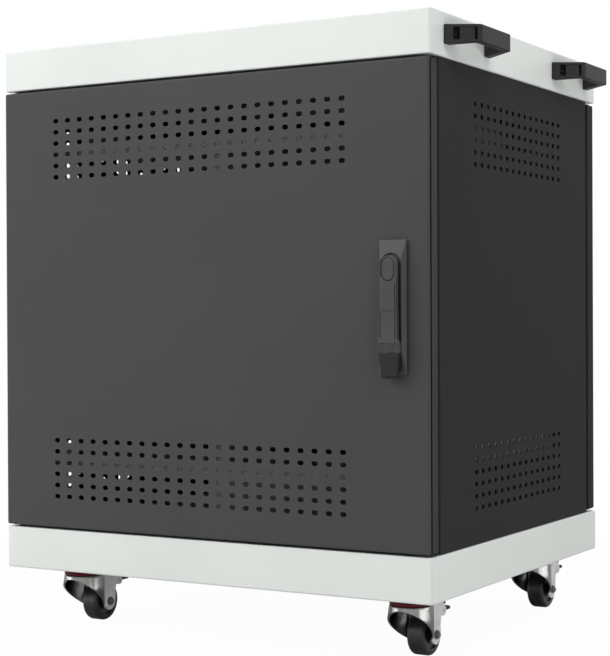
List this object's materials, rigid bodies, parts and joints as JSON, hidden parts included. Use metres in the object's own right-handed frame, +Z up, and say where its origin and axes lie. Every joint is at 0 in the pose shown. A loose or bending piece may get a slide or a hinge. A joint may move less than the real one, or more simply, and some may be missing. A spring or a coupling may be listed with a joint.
{
  "type": "laptop charging cart",
  "caption": "Boxy steel laptop charging cart on braked swivel casters, with a perforated lockable front door, rear door, bow handles, device racks and a power strip.",
  "frame": {"origin": "on the floor, under the middle of the cart's box", "axes": "+Z up, -Y to the front door, +X to the side on the right of someone facing the door"},
  "size_m": [0.674, 0.536, 0.734],
  "materials": {
    "charcoal_paint": "fine satin powder coat",
    "light_grey_paint": "fine satin powder coat",
    "black_plastic": "moulded, fine grain",
    "lock_plastic": "satin moulded",
    "zinc_steel": "zinc plated",
    "bright_steel": "bright plated pressing",
    "red_seal": "dark red seal ring",
    "black_rubber": "black rubber tread"
  },
  "bodies": {
    "cabinet": {"base_tray": "light_grey_paint", "top_cover": "light_grey_paint", "lower_deck": "light_grey_paint", "upper_deck": "light_grey_paint", "centre_partition": "light_grey_paint", "left_side_panel": "charcoal_paint", "right_side_panel": "charcoal_paint", "left_device_rack": "zinc_steel", "right_device_rack": "zinc_steel", "front_hinge_pin_lower": "zinc_steel", "front_hinge_pin_upper": "zinc_steel", "rear_hinge_pin_lower": "zinc_steel", "rear_hinge_pin_upper": "zinc_steel", "power_strip": "black_plastic", "mains_inlet": "black_plastic", "corner_post_fl": "charcoal_paint", "bow_handle_fl": "black_plastic", "caster_plate_fl": "zinc_steel", "corner_post_fr": "charcoal_paint", "bow_handle_fr": "black_plastic", "caster_plate_fr": "zinc_steel", "corner_post_rl": "charcoal_paint", "bow_handle_rl": "black_plastic", "caster_plate_rl": "zinc_steel", "corner_post_rr": "charcoal_paint", "bow_handle_rr": "black_plastic", "caster_plate_rr": "zinc_steel"},
    "front_door": {"front_door": "charcoal_paint", "lock_housing": "lock_plastic"},
    "lock_spindle": {"lock_spindle": "zinc_steel", "lock_cam": "zinc_steel"},
    "lock_lever": {"lock_lever": "lock_plastic"},
    "lock_button": {"lock_button": "lock_plastic"},
    "rear_door": {"rear_door": "charcoal_paint", "rear_lock_barrel": "zinc_steel"},
    "rear_lock": {"rear_lock_plug": "zinc_steel", "rear_lock_cam": "zinc_steel"},
    "rocker_switch": {"rocker_switch": "black_plastic"},
    "caster_fl": {"caster_fork_fl": "bright_steel", "caster_seal_fl": "red_seal", "caster_axle_fl": "zinc_steel"},
    "wheel_fl": {"caster_wheel_fl": "black_rubber"},
    "pedal_fl": {"brake_pedal_fl": "black_plastic"},
    "caster_fr": {"caster_fork_fr": "bright_steel", "caster_seal_fr": "red_seal", "caster_axle_fr": "zinc_steel"},
    "wheel_fr": {"caster_wheel_fr": "black_rubber"},
    "pedal_fr": {"brake_pedal_fr": "black_plastic"},
    "caster_rl": {"caster_fork_rl": "bright_steel", "caster_seal_rl": "red_seal", "caster_axle_rl": "zinc_steel"},
    "wheel_rl": {"caster_wheel_rl": "black_rubber"},
    "pedal_rl": {"brake_pedal_rl": "black_plastic"},
    "caster_rr": {"caster_fork_rr": "bright_steel", "caster_seal_rr": "red_seal", "caster_axle_rr": "zinc_steel"},
    "wheel_rr": {"caster_wheel_rr": "black_rubber"},
    "pedal_rr": {"brake_pedal_rr": "black_plastic"}
  },
  "joints": [
    {"name": "front_door_swing", "type": "hinge", "parent": "cabinet", "child": "front_door", "pos_m": [-0.29, -0.242, 0.407], "axis": [0, 0, -1], "range_deg": [0, 135]},
    {"name": "lock_turn", "type": "hinge", "parent": "front_door", "child": "lock_spindle", "pos_m": [0.2555, -0.252, 0.4495], "axis": [0, 1, 0], "range_deg": [0, 90]},
    {"name": "lever_lift", "type": "hinge", "parent": "lock_spindle", "child": "lock_lever", "pos_m": [0.2555, -0.262, 0.458], "axis": [-1, 0, 0], "range_deg": [0, 30]},
    {"name": "button_press", "type": "slide", "parent": "lock_lever", "child": "lock_button", "axis": [0, 1, 0], "range_m": [0, 0.003], "stiffness_N_per_m": 300},
    {"name": "rear_door_swing", "type": "hinge", "parent": "cabinet", "child": "rear_door", "pos_m": [0.29, 0.248, 0.407], "axis": [0, 0, -1], "range_deg": [0, 135]},
    {"name": "rear_lock_turn", "type": "hinge", "parent": "rear_door", "child": "rear_lock", "pos_m": [-0.2555, 0.258, 0.407], "axis": [0, 1, 0], "range_deg": [0, 90]},
    {"name": "switch_rock", "type": "hinge", "parent": "cabinet", "child": "rocker_switch", "pos_m": [0.1648, 0.26, 0.105], "axis": [-1, 0, 0], "range_deg": [0, 16]},
    {"name": "swivel_fl", "type": "hinge", "parent": "cabinet", "child": "caster_fl", "pos_m": [-0.236, -0.176, 0.079], "axis": [0, 0, 1], "continuous": true},
    {"name": "roll_fl", "type": "hinge", "parent": "caster_fl", "child": "wheel_fl", "pos_m": [-0.236, -0.141, 0.025], "axis": [1, 0, 0], "continuous": true},
    {"name": "brake_fl", "type": "hinge", "parent": "caster_fl", "child": "pedal_fl", "pos_m": [-0.236, -0.12, 0.05], "axis": [-1, 0, 0], "range_deg": [0, 25]},
    {"name": "swivel_fr", "type": "hinge", "parent": "cabinet", "child": "caster_fr", "pos_m": [0.236, -0.176, 0.079], "axis": [0, 0, 1], "continuous": true},
    {"name": "roll_fr", "type": "hinge", "parent": "caster_fr", "child": "wheel_fr", "pos_m": [0.236, -0.141, 0.025], "axis": [1, 0, 0], "continuous": true},
    {"name": "brake_fr", "type": "hinge", "parent": "caster_fr", "child": "pedal_fr", "pos_m": [0.236, -0.12, 0.05], "axis": [-1, 0, 0], "range_deg": [0, 25]},
    {"name": "swivel_rl", "type": "hinge", "parent": "cabinet", "child": "caster_rl", "pos_m": [-0.236, 0.186, 0.079], "axis": [0, 0, 1], "continuous": true},
    {"name": "roll_rl", "type": "hinge", "parent": "caster_rl", "child": "wheel_rl", "pos_m": [-0.236, 0.221, 0.025], "axis": [1, 0, 0], "continuous": true},
    {"name": "brake_rl", "type": "hinge", "parent": "caster_rl", "child": "pedal_rl", "pos_m": [-0.236, 0.242, 0.05], "axis": [-1, 0, 0], "range_deg": [0, 25]},
    {"name": "swivel_rr", "type": "hinge", "parent": "cabinet", "child": "caster_rr", "pos_m": [0.236, 0.186, 0.079], "axis": [0, 0, 1], "continuous": true},
    {"name": "roll_rr", "type": "hinge", "parent": "caster_rr", "child": "wheel_rr", "pos_m": [0.236, 0.221, 0.025], "axis": [1, 0, 0], "continuous": true},
    {"name": "brake_rr", "type": "hinge", "parent": "caster_rr", "child": "pedal_rr", "pos_m": [0.236, 0.242, 0.05], "axis": [-1, 0, 0], "range_deg": [0, 25]}
  ]
}
